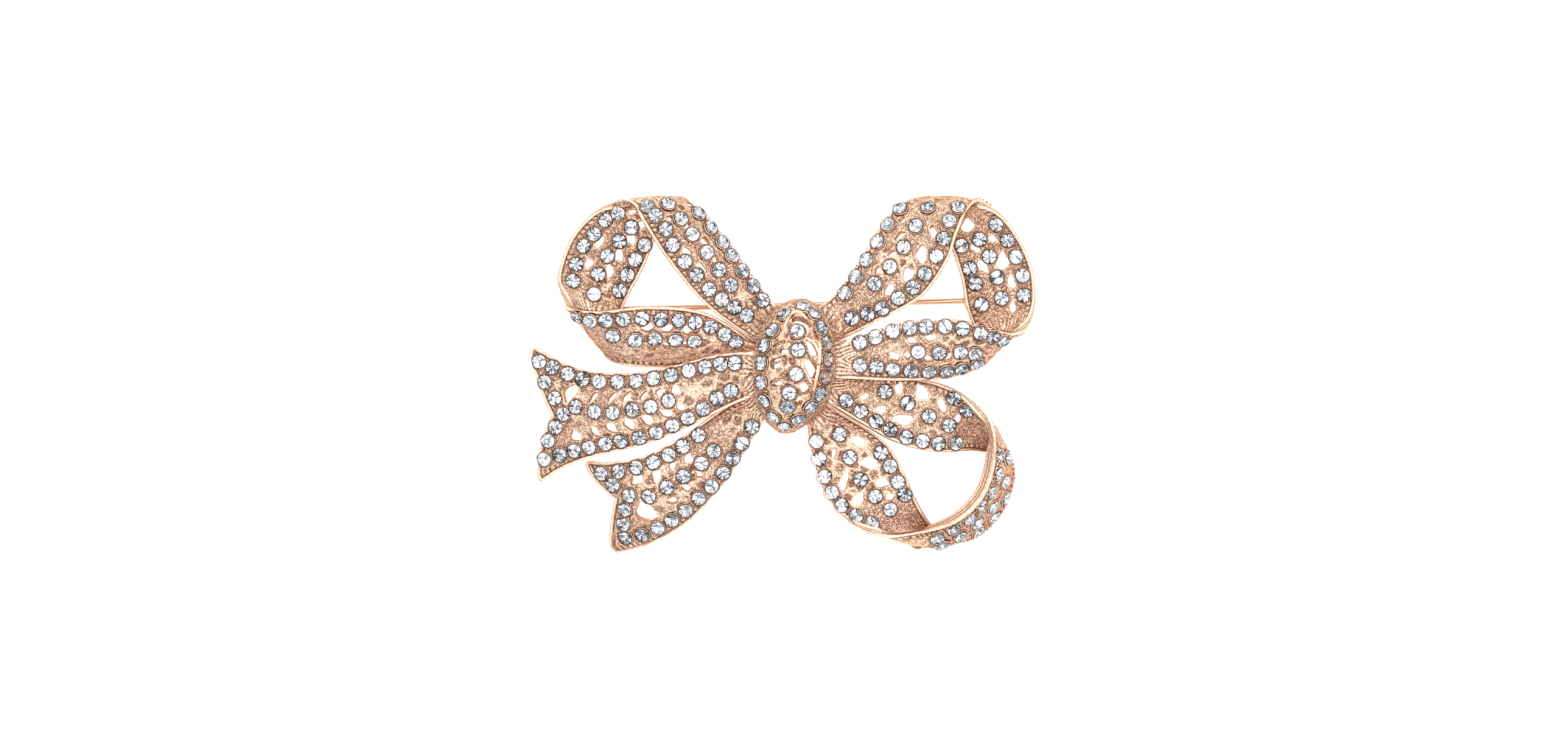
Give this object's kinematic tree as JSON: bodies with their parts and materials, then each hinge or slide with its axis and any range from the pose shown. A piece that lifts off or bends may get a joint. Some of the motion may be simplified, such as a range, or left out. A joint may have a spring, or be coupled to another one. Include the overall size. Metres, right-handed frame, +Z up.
{
  "type": "bow brooch",
  "caption": "Bow of pierced, stone-set metal ribbon with two upper loops, a lower loop and two notched tails round a domed knot, with a hinged pin stem and catch on its back.",
  "frame": {"origin": "on the surface that the brooch lies on, under the middle of the bow", "axes": "+X to the viewer's right along the bow's width, +Y to the top of the bow, +Z up out of its face"},
  "size_m": [0.07, 0.0494, 0.015],
  "materials": {
    "rose_gold": "rose gold plate, grainy cast texture with polished rims",
    "polished_gold": "polished rose gold plate"
  },
  "bodies": {
    "brooch": {"left_loop": "rose_gold", "right_loop": "rose_gold", "lower_loop": "rose_gold", "upper_tail": "rose_gold", "lower_tail": "rose_gold", "knot": "rose_gold", "pin_hinge": "polished_gold", "hinge_rivet": "polished_gold", "pin_catch": "polished_gold"},
    "pin": {"pin_stem": "polished_gold"}
  },
  "joints": [
    {"name": "pin_swing", "type": "hinge", "parent": "brooch", "child": "pin", "pos_m": [0.0259, 0.01018, 0.00111], "axis": [0.0244, -0.9997, 0], "range_deg": [0, 70]}
  ]
}
